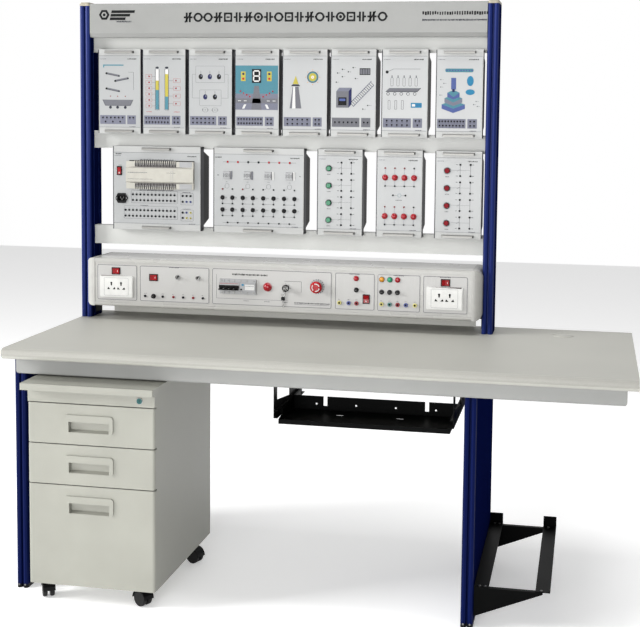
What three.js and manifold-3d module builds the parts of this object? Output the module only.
// A control training bench: a laminate table on extruded legs, a rack of plug-in practice modules,
// a mains console, a keyboard tray, a computer cradle and a rolling drawer pedestal.
import * as THREE from "three";
import { mergeVertices } from "three/addons/utils/BufferGeometryUtils.js";
import Module from "manifold-3d";

const wasm = await Module();
wasm.setup();

// Lengths are in millimetres. X runs from the table's left end to the right, Y from the table's
// front edge to the back, and Z up from the floor.

// Shared clearances and steps
const fitGap = 0.3;
const overrun = 10;
const mergeTolerance = 0.001;
const coarseSteps = 1;
const arcSteps = 2;
const fineSteps = 4;

// Table
const tableWidth = 1887;
const tableDepth = 786;
const tableHeight = 780;
const topThickness = 34;

// Blue extrusions: legs under the top and uprights over it
const profileWidth = 37;
const lobeGroove = 3;
const lobeGrooveDepth = 4;
const profileWall = 3;
const legFront = 91;
const legRearInset = 48;
const legShoeHeight = 12;
const legSeamOffset = 34;
const legSeamWidth = 2;
const legSeamDepth = 1.5;
const legCellCount = 5;
const rackWidth = 1436;
const uprightDepth = 112;
const uprightHeight = 1078;
const slotMouth = 8;
const slotLip = 2.5;
const slotRoom = 15;
const slotDepth = 8.5;
const slotPlaceShares = [0.3, 0.7];
const capHeight = 12;
const capRadius = 8;
const capBevel = 4;

// Sheet beams under the top
const beamHeight = 54;
const beamDepth = 28;
const beamWall = 2;
const beamRadius = 6;
const beamEndRadius = 10;
const beamLeftInset = 20;
const beamRightInset = 30;

// Rack: modules in two rows between three rails, under a header
const moduleHeight = 288;
const narrowModule = 153;
const wideModule = 315;
const lowerRowHeight = 312.5;
const rowGap = 42;
const upperGapShares = [0.23, 0.051, 0.079, 0.0738, 0.0842, 0.0809, 0.136, 0.19];
const lowerGapShares = [0.3066, 0.1685, 0.1685, 0.1733, 0.1538];
const railDepth = 34;
const railWall = 3;
const railLap = 9;
const lowerRailFace = 56;
const topRailFace = 41;
const railSlotMouth = 10;
const railSlotRoom = 18;
const headerHeight = 114;
const headerDepth = 60;
const headerSetback = 4;
const headerBand = 14;
const headerBandStep = 6;
const headerWall = 2;

// Module: front panel in a frame, a hood behind, two pull bars
const frameDepth = 40;
const panelThickness = 3;
const frameWall = 3;
const hoodDepth = 70;
const hoodInset = 14;
const hoodSideInset = 3;
const hoodTaper = 22;
const hoodWall = 1.5;
const ventWidthShare = 0.5;
const ventHeight = 5;
const ventPitch = 14;
const ventCount = 4;
const pullLength = 105;
const pullHeight = 9;
const pullDepth = 12;
const pullTaper = 3;
const pullMargin = 4.5;

// Controller unit and mains inlet on the first wide module
const controllerWidth = 241;
const controllerHeight = 94;
const controllerDepth = 16;
const controllerLeft = 52.6;
const controllerBottom = 142.5;
const terminalDepth = 11;
const terminalHeight = 21;
const shoulderHeight = 4;
const terminalSlot = 3;
const terminalSlotDepth = 5;
const terminalSlotCount = 14;
const terminalSpanShares = [0.13, 0.78];
const inletWidth = 45;
const inletHeight = 34;
const inletDepth = 4;
const inletAcross = 32;
const inletUp = 108;
const inletCorner = 9;
const socketWidth = 25;
const socketHeight = 17;
const socketDepth = 16;

// Push buttons, one column on each of two modules
const buttonRadius = 8;
const buttonRise = 7;
const buttonEdge = 1.2;
const buttonStem = 12;
const bezelRadius = 10.2;
const bezelRise = 3;
const buttonAcross = 40;
const firstButtonUp = 51.5;
const buttonPitch = 57.5;
const buttonCount = 4;
const roundSteps = 16;

// Console between the uprights
const consoleReach = 39;
const consoleDepth = 188;
const consoleLift = 48;
const consoleHeight = 166;
const consoleWall = 3;
const consoleRadius = 8;
const consoleCapWidth = 29.4;
const consoleCapOverlap = 4;
const consoleCapRadius = 25;
const consoleLip = 13;
const consoleLipStep = 2;
const bracketDepth = 60;
const bracketDrop = 36;
const bracketThickness = 3;
const fieldMargin = 8;
const fieldRise = 0.8;
const fieldRadius = 6;
const fieldEdgeShares = [
  [0.0065, 0.1185],
  [0.1255, 0.317],
  [0.324, 0.643],
  [0.651, 0.7545],
  [0.7605, 0.871],
  [0.8775, 0.9905],
];

// Console controls, placed by shares of the panel's width and height
const plateWidth = 120;
const plateHeight = 75;
const plateRise = 8;
const plateBevel = 3;
const plateRadius = 4;
const platePlaceShares = [
  [0.062, 0.4],
  [0.9325, 0.42],
];
const rockerLong = 25;
const rockerShort = 18;
const rockerBezel = 3;
const rockerBezelRise = 3;
const rockerPivotRise = 1;
const rockerDish = 2.2;
const rockerTilt = 7;
const rockerFrontAngle = 24;
const rockerBackAngle = 20;
const smallRockerLong = 25;
const smallRockerShort = 12;
const rockerPlaceShares = [
  [0.0598, 0.785],
  [0.164, 0.655],
  [0.7327, 0.331],
  [0.9342, 0.79],
];
const uprightRockerIndex = 2;
const moduleRockerAcross = 24;
const moduleRockerUp = 202.5;
const stopHeadRadius = 20;
const stopHeadDepth = 15;
const stopStemRadius = 11;
const stopHeadGap = 6;
const stopCollarRadius = 15;
const stopCollarRise = 8;
const stopTail = 14;
const stopPlaceShares = [0.605, 0.584];
const keyCollarRadius = 12;
const keyCollarRise = 7;
const keyRotorRadius = 8;
const keyRotorTail = 12;
const keyBladeThickness = 2.4;
const keyBladeHeight = 9;
const keyNeck = 10;
const keyBowRadius = 11;
const keyPlaceShares = [0.522, 0.518];
const toggleNutRadius = 8.5;
const toggleNutRise = 4;
const toggleSleeveRadius = 6;
const toggleSleeveRise = 9;
const toggleBall = 3.2;
const toggleBallRise = 4;
const toggleRootRadius = 1.5;
const toggleTipRadius = 3.4;
const toggleLength = 21;
const toggleTilt = 13;
const togglePlaceShares = [
  [0.2307, 0.677],
  [0.286, 0.677],
];
const breakerPlaceShares = [0.3464, 0.444];
const breakerUpShare = 0.515;
const breakerHeight = 50;
const breakerRise = 8;
const breakerNose = 16;
const breakerNoseHeight = 28;
const breakerPoleCount = 4;
const leverBankShare = 0.55;
const leverDrum = 7;
const leverPivotRise = 11;
const leverReach = 17;
const leverTabHeight = 5;
const leverTabShare = 0.55;
const leverTilt = 20;

// Transformer inside the console
const transformerWidth = 120;
const transformerDepth = 90;
const transformerHeight = 100;
const transformerFoot = 20;
const transformerFootThickness = 4;
const transformerPlaceShare = 0.42;
const coilBulge = 14;
const coilHeightShare = 0.55;

// Keyboard tray and the two hangers that carry its runners
const trayLeft = 844;
const trayWidth = 514;
const trayFront = 100;
const trayDepth = 205;
const trayDrop = 118;
const traySheet = 1.5;
const trayLip = 14;
const trayBack = 44;
const trayNotchWidth = 12;
const trayNotchDepth = 30;
const trayNotchShares = [0.197, 0.819];
const trayHoleRadius = 3;
const trayHoleShares = [0.142, 0.387, 0.63, 0.8725];
const trayHoleUpShare = 0.44;
const traySlotWidth = 22;
const traySlotDepth = 8;
const traySlotSetback = 140;
const traySlotShares = [0.31, 0.673];
const runnerWidth = 9;
const runnerHeight = 18;
const runnerLift = 22;
const runnerLength = 300;
const hangerSheet = 3;
const hangerLip = 3;
const hangerLength = 370;
const hangerStrap = 34;
const hangerRearStrap = 170;

// Computer cradle on the right leg
const cradleFrontInset = 14;
const cradleRearInset = 20;
const cradleWidth = 221;
const cradleLift = 120;
const cradleBar = 43;
const cradleSheet = 3;
const cradleLipHeight = 35;
const gussetDrop = 88;
const gussetTip = 6;
const gussetFlange = 16;
const gussetInset = 25;

// Pedestal on casters
const pedestalLeft = 91;
const pedestalWidth = 403;
const pedestalFront = -10;
const pedestalDepth = 565;
const pedestalLift = 62;
const slabThickness = 20;
const slabSide = 8;
const slabNose = 40;
const slabRadius = 4;
const fasciaHeight = 42;
const slabClearance = 4;
const cabinetWall = 1.5;
const drawerGap = 3;
const fasciaGap = 3;
const drawerFrontThickness = 20;
const drawerEdgeRadius = 3;
const drawerCornerRadius = 8;
const smallDrawerHeight = 122;
const drawerBoxShare = 0.74;
const drawerSheet = 1.5;
const drawerDepth = 530;
const runnerBar = 12;
const runnerBarHeight = 20;
const runnerBarUp = 34;
const flangeReach = 9;
const pullPlateWidth = 154;
const pullPlateHeight = 53;
const pullPlateRise = 5;
const pullPlateRadius = 9;
const pullPlateDrop = 58;
const pullPlateShift = 5;
const recessWidth = 128;
const recessHeight = 27;
const recessDepth = 20;
const recessFloor = 5;
const recessSlope = 9;

// Twin-wheel casters
const wheelRadius = 25;
const wheelWidth = 13;
const wheelGap = 9;
const hoodClearance = 1.5;
const hoodSkin = 2;
const casterPlate = 4;
const casterPlateRadius = 19;
const casterTrail = 16;
const casterInsetX = 43;
const casterInsetY = 45;
const casterRearInsetX = 32;
const casterRearInsetY = 115;
const axleRadius = 3;
const wheelSteps = 20;
const wheelEdge = 2.5;
const casterAngles = [30, 60, 140, -110];

// Worked-out levels and places
const topUnderside = tableHeight - topThickness;
const beamBottom = topUnderside - beamHeight;
const legDepth = tableDepth - legFront - legRearInset;
const legRear = legFront + legDepth;
const uprightFront = legRear - uprightDepth;
const rackLeft = profileWidth;
const rackRight = rackWidth - profileWidth;
const railFront = uprightFront + frameDepth;
const lowerRow = tableHeight + lowerRowHeight;
const upperRow = lowerRow + moduleHeight + rowGap;
const rackTop = upperRow + moduleHeight;
const headerBottom = rackTop + topRailFace;
const consoleFront = uprightFront - consoleReach;
const consoleBottom = tableHeight + consoleLift;
const consoleLeft = rackLeft + fitGap;
const consoleRight = rackRight - fitGap;
const panelLeft = consoleLeft + consoleCapWidth + fitGap;
const panelRight = consoleRight - consoleCapWidth - fitGap;
const panelBottom = consoleBottom + consoleLip;
const panelTop = consoleBottom + consoleHeight - consoleLip;
const panelFace = consoleFront + consoleLipStep;
const trayBottom = beamBottom - trayDrop;
const cradleFront = legFront + cradleFrontInset;
const cradleLength = legDepth - cradleFrontInset - cradleRearInset;
const cabinetHeight = beamBottom - slabClearance - slabThickness - pedestalLift;
const smallDrawerPitch = smallDrawerHeight + drawerGap;
const fileDrawerHeight = cabinetHeight - fasciaHeight - fasciaGap - 2 * smallDrawerPitch;
const drawerHeights = [fileDrawerHeight, smallDrawerHeight, smallDrawerHeight];

// Axes and orientations
const axisX = new THREE.Vector3(1, 0, 0);
const axisY = new THREE.Vector3(0, 1, 0);
const axisZ = new THREE.Vector3(0, 0, 1);
const sideways = new THREE.Matrix4().makeBasis(axisY, axisZ, axisX);
const forwards = new THREE.Matrix4().makeBasis(axisX, axisZ, axisY.clone().negate());

// Materials
function surface(color, roughness, metalness) {
  return new THREE.MeshStandardMaterial({ color, roughness, metalness });
}

const laminate = surface(0xb9b6ac, 0.45, 0);
const blueAnodised = surface(0x24307c, 0.35, 0.5);
const greyPaint = surface(0xc9cbc9, 0.4, 0.1);
const railPaint = surface(0xd2d3d1, 0.4, 0.2);
const panelPaint = surface(0xd9dad8, 0.4, 0.1);
const capPlastic = surface(0xc4c5c3, 0.5, 0);
const blackPaint = surface(0x101113, 0.5, 0.2);
const pedestalPaint = surface(0xcbc9ba, 0.5, 0.05);
const blackPlastic = surface(0x15171a, 0.55, 0);
const redPlastic = surface(0xc41a22, 0.3, 0);
const greenPlastic = surface(0x2f9d74, 0.3, 0);
const chrome = surface(0xc8c8c8, 0.2, 1);
const copperCore = surface(0x8a5a34, 0.5, 0.6);

// Solids from geometry and back
function solidOf(geometry) {
  const loose = geometry.index ? geometry.toNonIndexed() : geometry.clone();
  loose.deleteAttribute("normal");
  loose.deleteAttribute("uv");
  const merged = mergeVertices(loose, mergeTolerance);
  const corners = merged.index.array;
  const kept = [];
  for (let i = 0; i < corners.length; i += 3) {
    const [a, b, c] = [corners[i], corners[i + 1], corners[i + 2]];
    if (a !== b && b !== c && a !== c) kept.push(a, b, c);
  }
  const vertProperties = merged.attributes.position.array;
  const triVerts = new Uint32Array(kept);
  return new wasm.Manifold(new wasm.Mesh({ numProp: 3, vertProperties, triVerts }));
}

function geometryOf(solid) {
  const { vertProperties, triVerts } = solid.getMesh();
  const indexed = new THREE.BufferGeometry();
  indexed.setAttribute("position", new THREE.BufferAttribute(vertProperties, 3));
  indexed.setIndex(new THREE.BufferAttribute(triVerts, 1));
  const faceted = indexed.toNonIndexed();
  faceted.computeVertexNormals();
  return faceted;
}

function joined(solids) {
  return solids.reduce((whole, solid) => whole.add(solid));
}

function moved(solid, x, y, z) {
  return solid.translate([x, y, z]);
}

// Shapes and the solids swept from them
function polygon(points) {
  const shape = new THREE.Shape();
  points.forEach(([across, up], i) => (i ? shape.lineTo(across, up) : shape.moveTo(across, up)));
  shape.closePath();
  return shape;
}

function rectangle(left, right, bottom, top) {
  return polygon([
    [left, bottom],
    [right, bottom],
    [right, top],
    [left, top],
  ]);
}

// Corner radii run from bottom left anticlockwise to top left.
function roundedRectangle(left, right, bottom, top, radii) {
  const [bottomLeft, bottomRight, topRight, topLeft] = radii;
  const quarter = Math.PI / 2;
  const shape = new THREE.Shape();
  shape.moveTo(left + bottomLeft, bottom);
  shape.lineTo(right - bottomRight, bottom);
  if (bottomRight) shape.absarc(right - bottomRight, bottom + bottomRight, bottomRight, -quarter, 0);
  shape.lineTo(right, top - topRight);
  if (topRight) shape.absarc(right - topRight, top - topRight, topRight, 0, quarter);
  shape.lineTo(left + topLeft, top);
  if (topLeft) shape.absarc(left + topLeft, top - topLeft, topLeft, quarter, Math.PI);
  shape.lineTo(left, bottom + bottomLeft);
  if (bottomLeft) shape.absarc(left + bottomLeft, bottom + bottomLeft, bottomLeft, Math.PI, -quarter);
  return shape;
}

function evenlyRounded(left, right, bottom, top, radius) {
  return roundedRectangle(left, right, bottom, top, [radius, radius, radius, radius]);
}

function extruded(shape, length, steps) {
  const settings = { depth: length, bevelEnabled: false, curveSegments: steps };
  return new THREE.ExtrudeGeometry(shape, settings);
}

function prismX(shape, start, end, steps = arcSteps) {
  return solidOf(extruded(shape, end - start, steps).applyMatrix4(sideways).translate(start, 0, 0));
}

function prismY(shape, start, end, steps = arcSteps) {
  return solidOf(extruded(shape, end - start, steps).applyMatrix4(forwards).translate(0, end, 0));
}

function prismZ(shape, start, end, steps = arcSteps) {
  return solidOf(extruded(shape, end - start, steps).translate(0, 0, start));
}

function block(left, right, front, rear, bottom, top) {
  return prismZ(rectangle(left, right, front, rear), bottom, top);
}

// A round piece about the upright axis: profile points are radius and rise
function turned(profile, steps) {
  const points = profile.map(([radius, rise]) => new THREE.Vector2(radius, rise));
  return solidOf(new THREE.LatheGeometry(points, steps).rotateX(Math.PI / 2));
}

function facing(solid) {
  return solid.rotate([90, 0, 0]);
}

function disc(radius, back, front, steps = roundSteps) {
  return facing(
    turned(
      [
        [0, back],
        [radius, back],
        [radius, front],
        [0, front],
      ],
      steps,
    ),
  );
}

// Scene graph helpers
const model = new THREE.Group();

function place(name, solid, material, parent = model, spot = [0, 0, 0]) {
  const mesh = new THREE.Mesh(geometryOf(solid), material);
  mesh.name = name;
  mesh.position.set(...spot);
  parent.add(mesh);
  return mesh;
}

function groupAt(x, y, z, parent = model) {
  const group = new THREE.Group();
  group.position.set(x, y, z);
  parent.add(group);
  return group;
}

// Tabletop: a board with a full round nose along its front edge
function tabletop() {
  const nose = topThickness / 2;
  const shape = new THREE.Shape();
  shape.moveTo(nose, topUnderside);
  shape.lineTo(tableDepth, topUnderside);
  shape.lineTo(tableDepth, tableHeight);
  shape.lineTo(nose, tableHeight);
  shape.absarc(nose, topUnderside + nose, nose, Math.PI / 2, -Math.PI / 2);
  return prismX(shape, 0, tableWidth, fineSteps);
}

// Blue extrusion outline: two round lobes with a groove between them at the front and at the rear
function lobedOutline(depth) {
  const radius = (profileWidth - lobeGroove) / 4;
  const grooveLeft = 2 * radius;
  const grooveRight = profileWidth - grooveLeft;
  const innerFront = radius + lobeGrooveDepth;
  const innerRear = depth - innerFront;
  const shape = new THREE.Shape();
  shape.moveTo(0, radius);
  shape.absarc(radius, radius, radius, Math.PI, 0);
  shape.lineTo(grooveLeft, innerFront);
  shape.lineTo(grooveRight, innerFront);
  shape.lineTo(grooveRight, radius);
  shape.absarc(profileWidth - radius, radius, radius, Math.PI, 0);
  shape.lineTo(profileWidth, depth - radius);
  shape.absarc(profileWidth - radius, depth - radius, radius, 0, Math.PI);
  shape.lineTo(grooveRight, innerRear);
  shape.lineTo(grooveLeft, innerRear);
  shape.lineTo(grooveLeft, depth - radius);
  shape.absarc(radius, depth - radius, radius, 0, Math.PI);
  return shape;
}

function lobeEnd() {
  return (profileWidth - lobeGroove) / 4 + lobeGrooveDepth + profileWall;
}

// Leg: a deep panel extrusion with hollow cells, seams along its sides and a moulded shoe
function leg() {
  const shape = lobedOutline(legDepth);
  const firstCell = lobeEnd();
  const cellPitch = (legDepth - 2 * firstCell + profileWall) / legCellCount;
  for (let i = 0; i < legCellCount; i += 1) {
    const cellFront = firstCell + i * cellPitch;
    const cellRear = cellFront + cellPitch - profileWall;
    shape.holes.push(rectangle(profileWall, profileWidth - profileWall, cellFront, cellRear));
  }
  const post = prismZ(shape, legShoeHeight, topUnderside - fitGap);
  const shoe = prismZ(lobedOutline(legDepth), 0, legShoeHeight);
  const seams = [legSeamOffset, legDepth - legSeamOffset].flatMap((along) => [
    seam(-overrun, legSeamDepth, along),
    seam(profileWidth - legSeamDepth, profileWidth + overrun, along),
  ]);
  return post.subtract(joined(seams)).add(shoe);
}

function seam(left, right, along) {
  return block(left, right, along, along + legSeamWidth, legShoeHeight, tableHeight);
}

// Upright: the same lobes, two T-slots down its inner side, hollow cells and a rounded cap
function upright() {
  const slots = slotPlaceShares.map((share) => share * uprightDepth);
  const cellRight = profileWidth - slotDepth - profileWall;
  const shape = lobedOutline(uprightDepth);
  const edges = [lobeEnd(), ...slots, uprightDepth - lobeEnd()];
  for (let i = 0; i + 1 < edges.length; i += 1) {
    const front = edges[i] + (i ? profileWall / 2 : 0);
    const rear = edges[i + 1] - (i + 2 < edges.length ? profileWall / 2 : 0);
    shape.holes.push(rectangle(profileWall, cellRight, front, rear));
  }
  const post = prismZ(shape, 0, uprightHeight);
  const cuts = slots.flatMap((along) => [
    slotCut(profileWidth - slotLip - overrun, profileWidth + overrun, along, slotMouth),
    slotCut(profileWidth - slotDepth, profileWidth - slotLip, along, slotRoom),
  ]);
  const bodyCut = joined(cuts).intersect(
    block(profileWidth - slotDepth, profileWidth + overrun, 0, uprightDepth, -overrun, uprightHeight),
  );
  return post.subtract(bodyCut).add(uprightCap());
}

function slotCut(left, right, along, width) {
  return block(left, right, along - width / 2, along + width / 2, -overrun, uprightHeight);
}

function uprightCap() {
  const outline = evenlyRounded(0, profileWidth, 0, uprightDepth, capRadius);
  const crown = evenlyRounded(
    capBevel,
    profileWidth - capBevel,
    capBevel,
    uprightDepth - capBevel,
    capRadius - capBevel,
  );
  const rim = prismZ(outline, uprightHeight, uprightHeight + capHeight - capBevel);
  return rim.add(prismZ(crown, uprightHeight, uprightHeight + capHeight));
}

// Sheet beams: open-ended box sections, the front one with rounded lower ends
function beamSection(front, rear, bottom) {
  const top = topUnderside - fitGap;
  const shape = roundedRectangle(front, rear, bottom, top, [beamRadius, 0, 0, 0]);
  const low = bottom + beamWall;
  const bore = rectangle(front + beamWall, rear - beamWall, low, top - beamWall);
  shape.holes.push(bore);
  return shape;
}

function frontBeam() {
  const rear = legFront - fitGap;
  const front = rear - beamDepth;
  const left = beamLeftInset;
  const right = tableWidth - beamRightInset;
  const tube = prismX(beamSection(front, rear, beamBottom), left, right);
  const silhouette = roundedRectangle(left, right, beamBottom, topUnderside, [
    beamEndRadius,
    beamEndRadius,
    0,
    0,
  ]);
  const face = prismY(silhouette, front - overrun, rear + overrun);
  return tube.intersect(face).add(hanger(false)).add(hanger(true));
}

// Tray hanger: a channel for the runner under two straps, fixed to the beam's back
function hanger(isRight) {
  const runnerBottom = trayBottom + runnerLift;
  const runnerTop = runnerBottom + runnerHeight;
  const start = legFront - fitGap - beamWall;
  const end = start + hangerLength;
  const channelBottom = runnerBottom - fitGap - hangerLip;
  const channelTop = runnerTop + fitGap + hangerLip;
  const web = rectangle(start, end, channelBottom, topUnderside - fitGap);
  web.holes.push(
    rectangle(start + hangerStrap, end - hangerRearStrap, channelTop, topUnderside - beamWall * 2),
  );
  const inner = runnerWidth + fitGap;
  const plate = prismX(web, -inner - hangerSheet, -inner);
  const lips = [channelBottom, channelTop - hangerLip].map((level) =>
    block(-inner - hangerSheet, -fitGap, start, end, level, level + hangerLip),
  );
  const left = plate.add(joined(lips));
  const half = isRight ? left.mirror([1, 0, 0]) : left;
  return moved(half, isRight ? trayLeft + trayWidth : trayLeft, 0, 0);
}

function rearBeam() {
  const front = legRear + fitGap;
  const right = tableWidth - beamRightInset;
  const back = prismX(beamSection(front, front + beamDepth, beamBottom), beamLeftInset, right);
  const start = legFront + fitGap;
  const top = topUnderside - fitGap;
  const end = rectangle(right - beamDepth, right, beamBottom, top);
  end.holes.push(
    rectangle(
      right - beamDepth + beamWall,
      right - beamWall,
      beamBottom + beamWall,
      top - beamWall,
    ),
  );
  return back.add(prismY(end, start, front + beamWall));
}

// Rails and header, hollow extrusions that span the uprights
function railOutline(bottom, top) {
  const middle = (bottom + top) / 2;
  const rear = railFront + railDepth;
  const room = rear - railWall;
  return polygon([
    [railFront + fitGap, bottom],
    [rear, bottom],
    [rear, middle - railSlotMouth / 2],
    [room, middle - railSlotMouth / 2],
    [room, middle - railSlotRoom / 2],
    [room - railWall, middle - railSlotRoom / 2],
    [room - railWall, middle + railSlotRoom / 2],
    [room, middle + railSlotRoom / 2],
    [room, middle + railSlotMouth / 2],
    [rear, middle + railSlotMouth / 2],
    [rear, top],
    [railFront + fitGap, top],
  ]);
}

function rail(bottom, top) {
  const shape = railOutline(bottom, top);
  const hollowRear = railFront + railDepth - 3 * railWall;
  shape.holes.push(
    rectangle(railFront + railWall, hollowRear, bottom + railWall, top - railWall),
  );
  return prismX(shape, rackLeft + fitGap, rackRight - fitGap);
}

function header() {
  const front = uprightFront + headerSetback;
  const rear = front + headerDepth;
  const top = headerBottom + headerHeight;
  const band = headerBottom + headerBand;
  const shape = polygon([
    [front + headerBandStep, headerBottom],
    [rear, headerBottom],
    [rear, top],
    [front, top],
    [front, band],
  ]);
  shape.holes.push(
    rectangle(
      front + headerBandStep + headerWall,
      rear - headerWall,
      headerBottom + headerWall,
      top - headerWall,
    ),
  );
  const box = prismX(shape, rackLeft + fitGap, rackRight - fitGap);
  return box.add(rail(rackTop - railLap, headerBottom + headerWall / 2));
}

// Practice module, from its lower left front corner
function moduleBody(width) {
  const hoodShape = (inset, wall) =>
    polygon([
      [frameDepth - panelThickness, inset],
      [frameDepth, inset],
      [frameDepth + hoodDepth - wall, inset + hoodTaper],
      [frameDepth + hoodDepth - wall, moduleHeight - inset - hoodTaper],
      [frameDepth, moduleHeight - inset],
      [frameDepth - panelThickness, moduleHeight - inset],
    ]);
  const hoodLeft = hoodSideInset;
  const hoodRight = width - hoodSideInset;
  const shell = block(0, width, 0, frameDepth, 0, moduleHeight).add(
    prismX(hoodShape(hoodInset, 0), hoodLeft, hoodRight),
  );
  const room = block(
    frameWall,
    width - frameWall,
    panelThickness,
    frameDepth - hoodWall,
    frameWall,
    moduleHeight - frameWall,
  );
  const hoodRoom = prismX(
    hoodShape(hoodInset + hoodWall, hoodWall),
    hoodLeft + hoodWall,
    hoodRight - hoodWall,
  );
  const pulls = [pullMargin, moduleHeight - pullMargin - pullHeight].map((up) =>
    moved(pullBar(), width / 2, 0, up),
  );
  return shell.subtract(room.add(hoodRoom)).subtract(vents(width)).add(joined(pulls));
}

function vents(width) {
  const reach = (width * ventWidthShare) / 2;
  const rear = frameDepth + hoodDepth;
  const slots = [];
  for (let i = 0; i < ventCount; i += 1) {
    const up = moduleHeight / 2 + (i - (ventCount - 1) / 2) * ventPitch;
    const middle = width / 2;
    slots.push(
      block(middle - reach, middle + reach, rear - 2 * hoodWall, rear + overrun, up, up + ventHeight),
    );
  }
  return joined(slots);
}

// Pull bar: a strip with slanting ends and a slanting top
function pullBar() {
  const half = pullLength / 2;
  const outline = polygon([
    [-half, 0],
    [half, 0],
    [half - pullTaper, -pullDepth],
    [-half + pullTaper, -pullDepth],
  ]);
  const section = polygon([
    [-pullDepth, 0],
    [0, 0],
    [0, pullHeight],
    [-pullDepth, pullHeight - pullTaper],
  ]);
  return prismZ(outline, 0, pullHeight).intersect(prismX(section, -half, half));
}

// Controller unit: a raised middle between two lower terminal rows, slotted for their screws
function controllerUnit() {
  const low = terminalHeight;
  const high = controllerHeight - terminalHeight;
  const section = polygon([
    [0, 0],
    [0, controllerHeight],
    [-terminalDepth, controllerHeight],
    [-terminalDepth, high],
    [-controllerDepth, high - shoulderHeight],
    [-controllerDepth, low + shoulderHeight],
    [-terminalDepth, low],
    [-terminalDepth, 0],
  ]);
  const body = prismX(section, 0, controllerWidth);
  const [fromShare, toShare] = terminalSpanShares;
  const span = (toShare - fromShare) * controllerWidth;
  const pitch = span / terminalSlotCount;
  const floor = -terminalDepth + terminalSlotDepth;
  const slots = [];
  for (let i = 0; i < terminalSlotCount; i += 1) {
    const left = fromShare * controllerWidth + i * pitch;
    const right = left + terminalSlot;
    const reach = -terminalDepth - overrun;
    slots.push(block(left, right, reach, floor, -overrun, low - terminalSlot));
    slots.push(block(left, right, reach, floor, high + terminalSlot, controllerHeight + overrun));
  }
  return moved(body.subtract(joined(slots)), controllerLeft, 0, controllerBottom);
}

function inletFlange() {
  const half = inletWidth / 2;
  const shoulder = half - inletCorner;
  const outline = polygon([
    [-half, 0],
    [-shoulder, -inletHeight / 2],
    [shoulder, -inletHeight / 2],
    [half, 0],
    [shoulder, inletHeight / 2],
    [-shoulder, inletHeight / 2],
  ]);
  const shroudRear = socketDepth + panelThickness - inletDepth;
  const wall = panelThickness / 2;
  const shroud = block(
    -socketWidth / 2 - wall,
    socketWidth / 2 + wall,
    0,
    shroudRear,
    -socketHeight / 2 - wall,
    socketHeight / 2 + wall,
  );
  const body = prismY(outline, -inletDepth, panelThickness / 2).add(shroud);
  return moved(body, inletAcross, 0, inletUp);
}

function inletSocket() {
  const room = block(
    -socketWidth / 2,
    socketWidth / 2,
    -inletDepth - overrun,
    socketDepth - inletDepth,
    -socketHeight / 2,
    socketHeight / 2,
  );
  return moved(room, inletAcross, 0, inletUp);
}

// Round bezels for a column of push buttons
function buttonUps() {
  return Array.from({ length: buttonCount }, (_, i) => firstButtonUp + i * buttonPitch);
}

function buttonModule() {
  let body = moduleBody(narrowModule);
  for (const up of buttonUps()) {
    body = body.add(moved(disc(bezelRadius, 0, bezelRise), buttonAcross, panelThickness / 2, up));
  }
  for (const up of buttonUps()) {
    const bore = disc(buttonRadius + fitGap, -overrun, overrun);
    body = body.subtract(moved(bore, buttonAcross, 0, up));
  }
  return body;
}

function pushButton() {
  return facing(
    turned(
      [
        [0, -buttonStem],
        [buttonRadius, -buttonStem],
        [buttonRadius, buttonRise - buttonEdge],
        [buttonRadius - buttonEdge, buttonRise],
        [0, buttonRise],
      ],
      roundSteps,
    ),
  );
}

// Rocker switches: a dished rocker whose ends are arcs about its pivot, in a raised bezel
function rockerShape(long) {
  const radius = long / 2 - fitGap;
  const front = THREE.MathUtils.degToRad(rockerFrontAngle);
  const back = THREE.MathUtils.degToRad(rockerBackAngle);
  const shape = new THREE.Shape();
  shape.moveTo(radius * Math.cos(back), -radius * Math.sin(back));
  shape.absarc(0, 0, radius, -back, front);
  shape.lineTo(0, rockerDish);
  shape.absarc(0, 0, radius, Math.PI - front, Math.PI + back);
  return shape;
}

// The rocker is built about its pivot, its long side up and its face towards the viewer.
function rocker(long, short) {
  const half = short / 2 - fitGap;
  const turnedIn = prismZ(rockerShape(long), -half, half, coarseSteps);
  return turnedIn.rotate([0, -90, 180]);
}

function rockerBezelBlock(long, short) {
  const acrossHalf = short / 2 + rockerBezel;
  const upHalf = long / 2 + rockerBezel;
  const outline = rectangle(-acrossHalf, acrossHalf, -upHalf, upHalf);
  return prismY(outline, -rockerBezelRise, panelThickness / 2);
}

function rockerWindow(long, short) {
  const outline = rectangle(-short / 2, short / 2, -long / 2, long / 2);
  return prismY(outline, -overrun, overrun);
}

function mainsModule() {
  const rockerSpot = [moduleRockerAcross, 0, moduleRockerUp];
  return moduleBody(wideModule)
    .add(controllerUnit())
    .add(inletFlange())
    .add(moved(rockerBezelBlock(smallRockerLong, smallRockerShort), ...rockerSpot))
    .subtract(inletSocket())
    .subtract(moved(rockerWindow(smallRockerLong, smallRockerShort), ...rockerSpot));
}

// Module rows: the free width between the uprights is shared out as the gaps
function rowPlaces(widths, gapShares) {
  const free = rackRight - rackLeft - widths.reduce((sum, width) => sum + width, 0);
  let left = rackLeft;
  return widths.map((width, i) => {
    left += gapShares[i] * free;
    const spot = left;
    left += width;
    return spot;
  });
}

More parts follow.
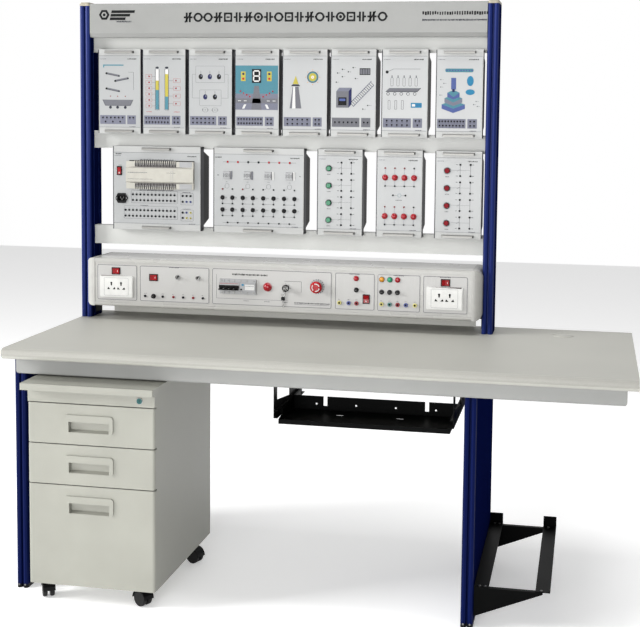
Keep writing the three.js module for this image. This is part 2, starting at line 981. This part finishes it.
// Console housing: an extrusion open at the front, its lips framing the control panel
function consoleOutline() {
  const bottom = consoleBottom;
  const top = consoleBottom + consoleHeight;
  const rear = consoleFront + consoleDepth;
  const inFront = consoleFront + consoleWall;
  const shape = new THREE.Shape();
  shape.moveTo(consoleFront + consoleRadius, bottom);
  shape.lineTo(rear, bottom);
  shape.lineTo(rear, top);
  shape.lineTo(consoleFront + consoleRadius, top);
  shape.absarc(consoleFront + consoleRadius, top - consoleRadius, consoleRadius, Math.PI / 2, Math.PI);
  shape.lineTo(consoleFront, top - consoleLip);
  shape.lineTo(inFront, top - consoleLip);
  shape.lineTo(inFront + consoleWall, top - consoleWall);
  shape.lineTo(rear - consoleWall, top - consoleWall);
  shape.lineTo(rear - consoleWall, bottom + consoleWall);
  shape.lineTo(inFront + consoleWall, bottom + consoleWall);
  shape.lineTo(inFront, bottom + consoleLip);
  shape.lineTo(consoleFront, bottom + consoleLip);
  shape.lineTo(consoleFront, bottom + consoleRadius);
  shape.absarc(
    consoleFront + consoleRadius,
    bottom + consoleRadius,
    consoleRadius,
    Math.PI,
    -Math.PI / 2,
  );
  return shape;
}

// Its back sheet goes on down to the table top and closes the gap under the console.
function consoleHousing() {
  const rear = consoleFront + consoleDepth;
  const inner = rear - consoleWall;
  const skirtTop = consoleBottom + consoleRadius + consoleWall;
  const skirt = block(panelLeft, panelRight, inner, rear, tableHeight + fitGap, skirtTop);
  return prismX(consoleOutline(), panelLeft, panelRight).add(skirt);
}

// End cap: rounded towards the front in plan and at its corners in elevation, on an angle bracket
function consoleCap() {
  const rear = consoleFront + consoleDepth;
  const bottom = consoleBottom;
  const top = consoleBottom + consoleHeight;
  const left = -consoleCapOverlap;
  const noseRear = uprightFront - fitGap;
  const nose = roundedRectangle(left, consoleCapWidth, consoleFront, noseRear, [
    consoleCapWidth,
    0,
    0,
    0,
  ]);
  const face = roundedRectangle(left, consoleCapWidth, bottom, top, [
    consoleCapRadius,
    0,
    0,
    consoleCapRadius,
  ]);
  const cheek = prismZ(nose, bottom, top, fineSteps)
    .add(block(0, consoleCapWidth, noseRear - consoleWall, rear, bottom, top))
    .intersect(prismY(face, consoleFront, rear, fineSteps));
  const bracketFront = uprightFront + profileWidth;
  const shelf = block(
    0,
    consoleCapWidth,
    bracketFront,
    bracketFront + bracketDepth,
    bottom - bracketThickness,
    bottom + fitGap,
  );
  const flange = block(
    0,
    bracketThickness,
    bracketFront,
    bracketFront + bracketDepth,
    bottom - bracketDrop,
    bottom,
  );
  return cheek.add(shelf).add(flange);
}

// Control panel: six raised fields, two socket plates, a breaker and the collars of the switches
function panelAcross(share) {
  return panelLeft + share * (panelRight - panelLeft);
}

function panelUp(share) {
  return panelBottom + share * (panelTop - panelBottom);
}

function field([fromShare, toShare]) {
  const outline = evenlyRounded(
    panelAcross(fromShare),
    panelAcross(toShare),
    panelBottom + fieldMargin,
    panelTop - fieldMargin,
    fieldRadius,
  );
  return prismY(outline, panelFace - fieldRise, panelFace + panelThickness / 2, coarseSteps);
}

function socketPlate() {
  const half = plateWidth / 2;
  const tall = plateHeight / 2;
  const base = evenlyRounded(-half, half, -tall, tall, plateRadius);
  const crown = evenlyRounded(
    -half + plateBevel,
    half - plateBevel,
    -tall + plateBevel,
    tall - plateBevel,
    plateRadius - plateBevel / 2,
  );
  return prismY(base, -plateRise + plateBevel, panelThickness / 2, coarseSteps).add(
    prismY(crown, -plateRise, 0, coarseSteps),
  );
}

function breakerEnds() {
  return breakerPlaceShares.map(panelAcross);
}

function breakerCase() {
  const [left, right] = breakerEnds();
  const middle = panelUp(breakerUpShare);
  const half = breakerHeight / 2;
  const noseHalf = breakerNoseHeight / 2;
  const front = panelFace;
  const section = polygon([
    [front + panelThickness / 2, middle - half],
    [front + panelThickness / 2, middle + half],
    [front - breakerRise, middle + half],
    [front - breakerRise, middle + noseHalf],
    [front - breakerNose, middle + noseHalf],
    [front - breakerNose, middle - noseHalf],
    [front - breakerRise, middle - noseHalf],
    [front - breakerRise, middle - half],
  ]);
  return prismX(section, left, right);
}

function leverSpan() {
  const [left, right] = breakerEnds();
  return [left + fitGap, left + fitGap + (right - left) * leverBankShare];
}

function drum(radius, from, to) {
  const round = turned(
    [
      [0, from],
      [radius, from],
      [radius, to],
      [0, to],
    ],
    roundSteps,
  );
  return round.rotate([0, 90, 0]);
}

function leverWell() {
  const [left, right] = leverSpan();
  const well = drum(leverDrum + fitGap, left - overrun, right + fitGap);
  return moved(well, 0, panelFace - leverPivotRise, panelUp(breakerUpShare));
}

// Breaker levers: one drum with a tab for each pole and a bar that ties the tabs together
function breakerLever() {
  const [left, right] = leverSpan();
  const pitch = (right - left) / breakerPoleCount;
  const tabHalf = leverTabHeight / 2;
  const pieces = [drum(leverDrum, left, right)];
  for (let i = 0; i < breakerPoleCount; i += 1) {
    const middle = left + (i + 1 / 2) * pitch;
    const half = (pitch * leverTabShare) / 2;
    pieces.push(block(middle - half, middle + half, -leverReach, 0, -tabHalf, tabHalf));
  }
  const barFront = -leverReach;
  const barRear = barFront + leverTabHeight;
  pieces.push(block(left, right, barFront, barRear, -leverTabHeight, -tabHalf + fitGap));
  return joined(pieces);
}

function panelCollar(radius, rise, [acrossShare, upShare]) {
  const ring = disc(radius, -panelThickness / 2, rise);
  return moved(ring, panelAcross(acrossShare), panelFace, panelUp(upShare));
}

function panelBore(radius, [acrossShare, upShare]) {
  const bore = disc(radius, -consoleWall - overrun, overrun * 2);
  return moved(bore, panelAcross(acrossShare), panelFace, panelUp(upShare));
}

function rockerSize(index) {
  const isUpright = index === uprightRockerIndex;
  return isUpright ? [rockerLong, rockerShort] : [rockerShort, rockerLong];
}

function consolePanel() {
  const sheet = block(
    panelLeft,
    panelRight,
    panelFace,
    panelFace + panelThickness,
    panelBottom + fitGap,
    panelTop - fitGap,
  );
  const spotOf = ([across, up]) => [panelAcross(across), panelFace, panelUp(up)];
  const additions = [
    ...fieldEdgeShares.map(field),
    ...platePlaceShares.map((shares) => moved(socketPlate(), ...spotOf(shares))),
    breakerCase(),
    panelCollar(stopCollarRadius, stopCollarRise, stopPlaceShares),
    panelCollar(keyCollarRadius, keyCollarRise, keyPlaceShares),
    ...togglePlaceShares.map((shares) => panelCollar(toggleNutRadius, toggleNutRise, shares)),
    ...togglePlaceShares.map((shares) => panelCollar(toggleSleeveRadius, toggleSleeveRise, shares)),
    ...rockerPlaceShares.map((shares, i) => {
      const [tall, wide] = rockerSize(i);
      return moved(rockerBezelBlock(tall, wide), ...spotOf(shares));
    }),
  ];
  const cuts = [
    leverWell(),
    panelBore(stopStemRadius + fitGap, stopPlaceShares),
    panelBore(keyRotorRadius + fitGap, keyPlaceShares),
    ...togglePlaceShares.map((shares) => panelBore(toggleBall + fitGap, shares)),
    ...rockerPlaceShares.map((shares, i) => {
      const [tall, wide] = rockerSize(i);
      return moved(rockerWindow(tall, wide), ...spotOf(shares));
    }),
  ];
  return sheet.add(joined(additions)).subtract(joined(cuts));
}

// Emergency stop: a mushroom head on a stem
function stopButton() {
  const rear = stopCollarRise + stopHeadGap;
  const face = rear + stopHeadDepth;
  const edge = stopHeadDepth / 3;
  return facing(
    turned(
      [
        [0, -stopTail],
        [stopStemRadius, -stopTail],
        [stopStemRadius, rear],
        [stopHeadRadius - edge, rear],
        [stopHeadRadius, rear + edge],
        [stopHeadRadius, rear + 2 * edge],
        [stopHeadRadius - edge, face - edge / 4],
        [stopHeadRadius / 2, face],
        [0, face],
      ],
      wheelSteps,
    ),
  );
}

// Key switch: the rotor with its key in place
function keyRotor() {
  const rotor = disc(keyRotorRadius, -keyRotorTail, keyCollarRise);
  const half = keyBladeThickness / 2;
  const neckFront = -keyCollarRise - keyNeck;
  const neck = block(-half, half, neckFront, 0, -keyBladeHeight / 2, keyBladeHeight / 2);
  const bow = drum(keyBowRadius, -half, half);
  return rotor.add(neck).add(moved(bow, 0, neckFront - keyBowRadius / 2, 0));
}

// Toggle lever: a ball with a lever that widens to its tip
function toggleLever() {
  const seat = toggleBall / 2;
  return facing(
    turned(
      [
        [0, -toggleBall],
        [seat, -toggleBall + seat / 2],
        [toggleBall, 0],
        [seat, toggleBall - seat / 2],
        [toggleRootRadius, toggleBall],
        [toggleTipRadius, toggleLength - toggleTipRadius],
        [toggleTipRadius / 2, toggleLength],
        [0, toggleLength],
      ],
      roundSteps / 2,
    ),
  );
}

// Transformer: a laminated core with a coil round its middle limb, on two feet
function transformer() {
  const half = transformerWidth / 2;
  const deep = transformerDepth / 2;
  const coreHalf = deep - coilBulge;
  const feet = block(-half - transformerFoot, half + transformerFoot, -coreHalf, coreHalf, 0, 1);
  const foot = feet.scale([1, 1, transformerFootThickness]);
  const core = block(-half, half, -coreHalf, coreHalf, 0, transformerHeight);
  const coilTall = transformerHeight * coilHeightShare;
  const coilLow = (transformerHeight - coilTall) / 2;
  const coil = prismZ(
    evenlyRounded(-half / 2, half / 2, -deep, deep, coilBulge / 2),
    coilLow,
    coilLow + coilTall,
    coarseSteps,
  );
  return foot.add(core).add(coil);
}

// Keyboard tray: a folded sheet with sloping cheeks, a notched back and a runner on each side
function keyboardTray() {
  const right = trayWidth;
  const cheek = polygon([
    [0, 0],
    [trayDepth, 0],
    [trayDepth, trayBack],
    [0, trayLip],
  ]);
  const slots = traySlotShares.map((share) => {
    const middle = share * trayWidth;
    const half = traySlotWidth / 2;
    const front = traySlotSetback;
    return block(middle - half, middle + half, front, front + traySlotDepth, -overrun, overrun);
  });
  const pieces = [
    block(0, right, 0, trayDepth, 0, traySheet).subtract(joined(slots)),
    prismY(rectangle(0, right, 0, trayLip), 0, traySheet),
    backSheet(),
    prismX(cheek, 0, traySheet),
    prismX(cheek, right - traySheet, right),
    trayRunner(-runnerWidth, traySheet / 2),
    trayRunner(right - traySheet / 2, right + runnerWidth),
  ];
  return joined(pieces);
}

function trayRunner(left, right) {
  const front = trayDepth / 4;
  return block(left, right, front, runnerLength, runnerLift, runnerLift + runnerHeight);
}

function backSheet() {
  const outline = [
    [0, 0],
    [trayWidth, 0],
    [trayWidth, trayBack],
  ];
  for (const share of [...trayNotchShares].reverse()) {
    const middle = share * trayWidth;
    const half = trayNotchWidth / 2;
    const floor = trayBack - trayNotchDepth;
    outline.push([middle + half, trayBack], [middle + half, floor]);
    outline.push([middle - half, floor], [middle - half, trayBack]);
  }
  outline.push([0, trayBack]);
  const front = trayDepth - traySheet;
  const holes = trayHoleShares.map((share) => {
    const bore = disc(trayHoleRadius, -trayDepth - overrun, -front + overrun, roundSteps / 2);
    return moved(bore, share * trayWidth, 0, trayBack * trayHoleUpShare);
  });
  return prismY(polygon(outline), front, trayDepth).subtract(joined(holes));
}

// Computer cradle: two flat bars with upturned ends on two triangular gussets
function cradle() {
  const barTop = cradleSheet;
  const bar = (left) =>
    block(left, left + cradleBar, 0, cradleLength, 0, barTop).add(
      block(left, left + cradleBar, cradleLength - cradleSheet, cradleLength, 0, cradleLipHeight),
    );
  const gusset = (front) => {
    const plate = polygon([
      [0, fitGap],
      [0, -gussetDrop],
      [cradleWidth - cradleBar / 2, -gussetTip],
      [cradleWidth - cradleBar / 2, fitGap],
    ]);
    const reach = cradleWidth - cradleBar / 2;
    const flange = block(0, reach, front, front + gussetFlange, -cradleSheet, fitGap);
    return prismY(plate, front, front + cradleSheet).add(flange);
  };
  const pieces = [
    bar(0),
    bar(cradleWidth - cradleBar),
    gusset(0),
    gusset(cradleLength - gussetInset),
  ];
  return joined(pieces);
}

// Pedestal cabinet: sheet sides, floor and back under a thick top slab, with drawer runners inside
function cabinet() {
  const width = pedestalWidth;
  const depth = pedestalDepth;
  const bodyFront = drawerFrontThickness;
  const outer = block(0, width, bodyFront, depth, 0, cabinetHeight);
  const room = block(
    cabinetWall,
    width - cabinetWall,
    bodyFront - overrun,
    depth - cabinetWall,
    cabinetWall,
    cabinetHeight - cabinetWall,
  );
  const slabRoom = block(
    cabinetWall,
    width - cabinetWall,
    bodyFront + cabinetWall,
    depth - cabinetWall,
    cabinetHeight - overrun,
    cabinetHeight + slabThickness - cabinetWall,
  );
  const fasciaBottom = cabinetHeight - fasciaHeight;
  const fascia = block(0, width, 0, bodyFront + cabinetWall, fasciaBottom, cabinetHeight);
  const slabPlan = evenlyRounded(-slabSide, width + slabSide, -slabNose, depth, slabRadius);
  const slab = prismZ(slabPlan, cabinetHeight, cabinetHeight + slabThickness);
  const bars = drawerLevels().flatMap((level) => [
    runnerRail(cabinetWall / 2, cabinetWall + runnerBar, level),
    runnerRail(width - cabinetWall - runnerBar, width - cabinetWall / 2, level),
  ]);
  return outer.subtract(room).add(fascia).add(slab).subtract(slabRoom).add(joined(bars));
}

function runnerRail(left, right, level) {
  const front = drawerFrontThickness + cabinetWall;
  const low = level + runnerBarUp;
  return block(left, right, front, drawerDepth, low, low + runnerBarHeight);
}

// Drawer fronts stack up from the cabinet's floor with a gap between them
function drawerLevels() {
  let level = 0;
  return drawerHeights.map((height) => {
    const bottom = level;
    level += height + drawerGap;
    return bottom;
  });
}

function drawer(height) {
  const width = pedestalWidth;
  const thick = drawerFrontThickness - fitGap;
  const plate = evenlyRounded(0, width, 0, height, drawerEdgeRadius);
  const pullTop = height - pullPlateDrop + pullPlateHeight / 2;
  const pullBottom = pullTop - pullPlateHeight;
  const middle = width / 2 - pullPlateShift;
  const mount = evenlyRounded(
    middle - pullPlateWidth / 2,
    middle + pullPlateWidth / 2,
    pullBottom,
    pullTop,
    pullPlateRadius,
  );
  const raised = prismY(mount, -pullPlateRise, drawerSheet);
  const recess = polygon([
    [-pullPlateRise - overrun, pullBottom + recessFloor - recessSlope],
    [recessDepth - pullPlateRise, pullBottom + recessFloor],
    [recessDepth - pullPlateRise, pullBottom + recessFloor + recessHeight],
    [-pullPlateRise - overrun, pullBottom + recessFloor + recessHeight],
  ]);
  const hollow = prismX(recess, middle - recessWidth / 2, middle + recessWidth / 2);
  const outside = drawerFrontPlan(0, drawerCornerRadius);
  const inside = drawerFrontPlan(drawerSheet, drawerCornerRadius - drawerSheet);
  const pan = prismZ(inside, drawerSheet, height - drawerSheet);
  const housing = block(
    middle - recessWidth / 2 - drawerSheet,
    middle + recessWidth / 2 + drawerSheet,
    0,
    thick,
    pullBottom,
    pullBottom + recessFloor + recessHeight + drawerSheet,
  );
  const sheet = prismY(plate, 0, thick, coarseSteps).intersect(prismZ(outside, 0, height));
  const front = sheet.subtract(pan).add(housing);
  return front.add(drawerBox(height)).add(raised).subtract(hollow);
}

// The drawer front seen from above: its two front corners are bent to a radius.
function drawerFrontPlan(inset, radius) {
  const rear = drawerFrontThickness + overrun;
  return roundedRectangle(inset, pedestalWidth - inset, inset, rear, [radius, radius, 0, 0]);
}

function drawerBox(height) {
  const thick = drawerFrontThickness - fitGap;
  const side = cabinetWall + runnerBar + fitGap;
  const left = side;
  const right = pedestalWidth - side;
  const floor = runnerBarUp / 2;
  const top = floor + height * drawerBoxShare;
  const outer = block(left, right, drawerSheet / 2, drawerDepth, floor, top);
  const room = block(
    left + drawerSheet,
    right - drawerSheet,
    thick,
    drawerDepth - drawerSheet,
    floor + drawerSheet,
    top + overrun,
  );
  const frontRoom = block(
    left + drawerSheet,
    right - drawerSheet,
    0,
    thick - drawerSheet,
    floor + drawerSheet,
    top + overrun,
  );
  const flangeBottom = runnerBarUp + runnerBarHeight + fitGap;
  const flanges = [
    [left - flangeReach, left + drawerSheet / 2],
    [right - drawerSheet / 2, right + flangeReach],
  ].map(([from, to]) =>
    block(from, to, thick + cabinetWall * 2, drawerDepth, flangeBottom, flangeBottom + drawerSheet),
  );
  return outer.subtract(room).subtract(frontRoom).add(joined(flanges));
}

// Caster: a swivelling web and hood over a pair of wheels on one axle
function wheelCentre() {
  return wheelRadius;
}

function casterHood() {
  const half = wheelGap / 2 + wheelWidth + hoodClearance;
  const inner = wheelRadius + hoodClearance;
  const outer = inner + hoodSkin;
  const up = wheelCentre();
  const arch = new THREE.Shape();
  arch.moveTo(casterTrail + outer, up);
  arch.absarc(casterTrail, up, outer, 0, Math.PI);
  arch.lineTo(casterTrail - inner, up);
  arch.absarc(casterTrail, up, inner, Math.PI, 0, true);
  const cover = prismX(arch, -half, half, fineSteps);
  const webShape = new THREE.Shape();
  webShape.moveTo(casterTrail + inner + hoodSkin / 2, up);
  webShape.absarc(casterTrail, up, inner + hoodSkin / 2, 0, Math.PI);
  webShape.lineTo(casterTrail - axleRadius * 2, up - axleRadius * 2);
  webShape.lineTo(casterTrail + axleRadius * 2, up - axleRadius * 2);
  const webHalf = wheelGap / 2 - hoodClearance;
  const web = prismX(webShape, -webHalf, webHalf, fineSteps);
  const top = pedestalLift - fitGap;
  const plate = turned(
    [
      [0, up + inner],
      [webHalf * 2, up + inner],
      [casterPlateRadius, top - casterPlate],
      [casterPlateRadius, top],
      [0, top],
    ],
    roundSteps,
  );
  const bore = moved(drum(axleRadius + fitGap, -half, half), 0, casterTrail, up);
  return cover.add(web).add(plate).subtract(bore).subtract(wheelRoom());
}

function wheelRoom() {
  const inner = wheelRadius + hoodClearance;
  const near = wheelGap / 2 - hoodClearance;
  const far = wheelGap / 2 + wheelWidth + hoodClearance + overrun;
  const rooms = [drum(inner, near, far), drum(inner, -far, -near)];
  return moved(joined(rooms), 0, casterTrail, wheelCentre());
}

function wheelPair() {
  const near = wheelGap / 2;
  const far = near + wheelWidth;
  const tyre = (from, to) =>
    turned(
      [
        [0, from],
        [wheelRadius - wheelEdge, from],
        [wheelRadius, from + wheelEdge],
        [wheelRadius, to - wheelEdge],
        [wheelRadius - wheelEdge, to],
        [0, to],
      ],
      wheelSteps,
    ).rotate([0, 90, 0]);
  return tyre(near, far)
    .add(tyre(-far, -near))
    .add(drum(axleRadius, -near - wheelEdge, near + wheelEdge));
}

// Assembly: table and legs
place("tabletop", tabletop(), laminate);
place("front_beam", frontBeam(), greyPaint);
place("rear_beam", rearBeam(), greyPaint);
place("left_leg", leg(), blueAnodised, model, [0, legFront, 0]);
place("right_leg", leg(), blueAnodised, model, [rackRight, legFront, 0]);

// Assembly: rack
const uprightBase = tableHeight + fitGap;
place("left_upright", upright(), blueAnodised, model, [0, uprightFront, uprightBase]);
const rightUpright = place("right_upright", upright(), blueAnodised);
rightUpright.rotation.z = Math.PI;
rightUpright.position.set(rackWidth, legRear, uprightBase);
place("header", header(), railPaint);
place("middle_rail", rail(lowerRow + moduleHeight - railLap, upperRow + railLap), railPaint);
place("lower_rail", rail(lowerRow - lowerRailFace, lowerRow + railLap), railPaint);

// Assembly: modules
const upperWidths = upperGapShares.map(() => narrowModule);
const narrowBody = moduleBody(narrowModule);
rowPlaces(upperWidths, upperGapShares).forEach((left, i) => {
  const spot = [left, uprightFront, upperRow];
  place(`upper_module_${i + 1}`, narrowBody, panelPaint, model, spot);
});
const lowerModules = [
  ["controller_module", wideModule, mainsModule()],
  ["signal_module", wideModule, moduleBody(wideModule)],
  ["green_button_module", narrowModule, buttonModule()],
  ["lamp_module", narrowModule, narrowBody],
  ["red_button_module", narrowModule, buttonModule()],
];
const lowerWidths = lowerModules.map(([, width]) => width);
const lowerLefts = rowPlaces(lowerWidths, lowerGapShares);
lowerModules.forEach(([name, , body], i) => {
  place(name, body, panelPaint, model, [lowerLefts[i], uprightFront, lowerRow]);
});

function placeButtons(label, moduleIndex, material) {
  const column = groupAt(lowerLefts[moduleIndex] + buttonAcross, uprightFront, lowerRow);
  buttonUps().forEach((up, i) => {
    place(`${label}_${buttonCount - i}`, pushButton(), material, column, [0, 0, up]);
  });
}

placeButtons("green_button", 2, greenPlastic);
placeButtons("red_button", 4, redPlastic);

// A rocker tilts about X when its long side stands up, and about Z when it lies across.
function placeRocker(name, x, y, z, long, short, isUpright) {
  const pivot = groupAt(x, y - rockerPivotRise, z);
  const tilt = THREE.MathUtils.degToRad(rockerTilt);
  if (isUpright) pivot.rotation.x = tilt;
  else pivot.rotation.set(0, 0, tilt);
  const turn = groupAt(0, 0, 0, pivot);
  if (!isUpright) turn.rotation.y = Math.PI / 2;
  return place(name, rocker(long, short), redPlastic, turn);
}

placeRocker(
  "controller_rocker",
  lowerLefts[0] + moduleRockerAcross,
  uprightFront,
  lowerRow + moduleRockerUp,
  smallRockerLong,
  smallRockerShort,
  true,
);

// Assembly: console
place("console_housing", consoleHousing(), railPaint);
place("console_left_cap", consoleCap(), capPlastic, model, [consoleLeft, 0, 0]);
const rightCap = consoleCap().mirror([1, 0, 0]);
place("console_right_cap", rightCap, capPlastic, model, [consoleRight, 0, 0]);
place("console_panel", consolePanel(), panelPaint);
place("transformer", transformer(), copperCore, model, [
  panelAcross(transformerPlaceShare),
  consoleFront + consoleDepth / 2 + transformerFoot,
  consoleBottom + consoleWall + fitGap,
]);

rockerPlaceShares.forEach(([across, up], i) => {
  const isUpright = i === uprightRockerIndex;
  const name = `console_rocker_${i + 1}`;
  placeRocker(name, panelAcross(across), panelFace, panelUp(up), rockerLong, rockerShort, isUpright);
});

const [stopAcross, stopUp] = stopPlaceShares;
place("e_stop_button", stopButton(), redPlastic, model, [
  panelAcross(stopAcross),
  panelFace,
  panelUp(stopUp),
]);

const [keyAcross, keyUp] = keyPlaceShares;
place("key_rotor", keyRotor(), chrome, model, [
  panelAcross(keyAcross),
  panelFace,
  panelUp(keyUp),
]);

togglePlaceShares.forEach(([across, up], i) => {
  const spot = [panelAcross(across), panelFace - toggleBallRise, panelUp(up)];
  const lever = place(`toggle_lever_${i + 1}`, toggleLever(), chrome, model, spot);
  lever.rotation.x = -THREE.MathUtils.degToRad(toggleTilt);
});

const lever = place("breaker_lever", breakerLever(), blackPlastic, model, [
  0,
  panelFace - leverPivotRise,
  panelUp(breakerUpShare),
]);
lever.rotation.x = THREE.MathUtils.degToRad(leverTilt);

// Assembly: keyboard tray and computer cradle
place("keyboard_tray", keyboardTray(), blackPaint, model, [trayLeft, trayFront, trayBottom]);
place("computer_cradle", cradle(), blackPaint, model, [
  rackWidth + fitGap,
  cradleFront,
  cradleLift,
]);

// Assembly: pedestal
const pedestal = groupAt(pedestalLeft, pedestalFront, pedestalLift);
place("pedestal_cabinet", cabinet(), pedestalPaint, pedestal);
const drawerNames = ["bottom_drawer", "middle_drawer", "top_drawer"];
drawerLevels().forEach((level, i) => {
  place(drawerNames[i], drawer(drawerHeights[i]), pedestalPaint, pedestal, [0, 0, level]);
});

const casterPlaces = [
  ["front_left", casterInsetX, casterInsetY],
  ["front_right", pedestalWidth - casterInsetX, casterInsetY],
  ["rear_left", casterRearInsetX, pedestalDepth - casterRearInsetY],
  ["rear_right", pedestalWidth - casterRearInsetX, pedestalDepth - casterRearInsetY],
];
casterPlaces.forEach(([side, x, y], i) => {
  const swivel = groupAt(x, y, -pedestalLift, pedestal);
  swivel.rotation.z = THREE.MathUtils.degToRad(casterAngles[i]);
  place(`${side}_caster_hood`, casterHood(), blackPlastic, swivel);
  place(`${side}_caster_wheels`, wheelPair(), blackPlastic, swivel, [
    0,
    casterTrail,
    wheelCentre(),
  ]);
});

// The part's origin is under the middle of its outline, on the floor.
const frontReach = pedestalFront - slabNose;
model.position.set(-tableWidth / 2, -(tableDepth + frontReach) / 2, 0);

const part = new THREE.Group();
part.add(model);

export default part;
